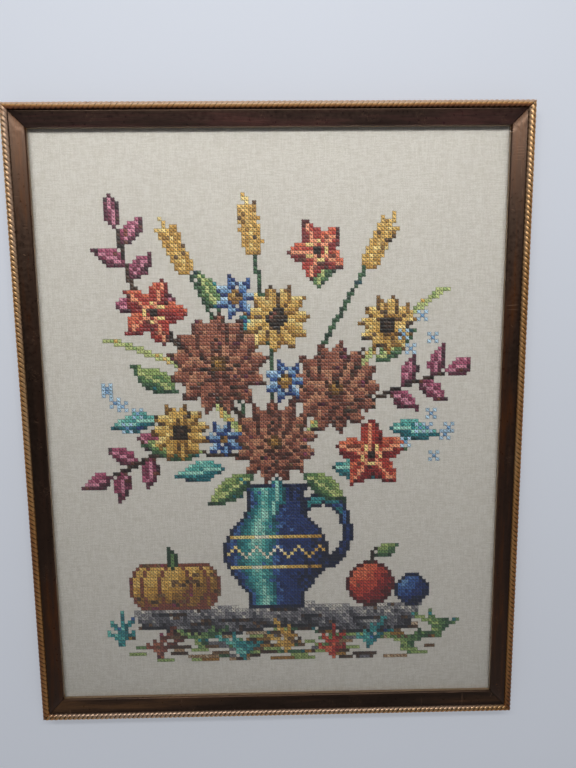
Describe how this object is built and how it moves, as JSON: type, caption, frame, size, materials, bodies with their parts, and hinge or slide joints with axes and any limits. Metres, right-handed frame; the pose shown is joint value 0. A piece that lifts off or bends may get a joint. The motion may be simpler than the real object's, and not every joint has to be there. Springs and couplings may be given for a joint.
{
  "type": "cross-stitch picture in a glazed wooden frame",
  "caption": "Portrait cross-stitch picture on cream linen behind glass, in a slim dark wooden frame with a gilt rope-twist outer edge.",
  "frame": {"origin": "middle of the frame's back, on the surface that the picture lies on", "axes": "+X is the picture's right, +Y is the picture's top, +Z is the way the picture faces; it lies on its back"},
  "size_m": [0.4574, 0.5704, 0.019],
  "materials": {
    "walnut_rail": "dark walnut-stained hardwood with a satin lacquer",
    "gilt_bead": "rope-twist wooden bead in worn antique gilt",
    "glazing": "clear picture glass",
    "linen_cloth": "cream plain-weave linen, slubbed",
    "stitching": "stranded embroidery thread in rust, gold, green, teal, blue and plum",
    "backing": "plain brown pulp board"
  },
  "bodies": {
    "root": {"rail_bottom": "walnut_rail", "rail_right": "walnut_rail", "rail_top": "walnut_rail", "rail_left": "walnut_rail", "bead_bottom": "gilt_bead", "bead_right": "gilt_bead", "bead_top": "gilt_bead", "bead_left": "gilt_bead", "glass": "glazing", "linen": "linen_cloth", "backing_board": "backing"}
  },
  "joints": []
}
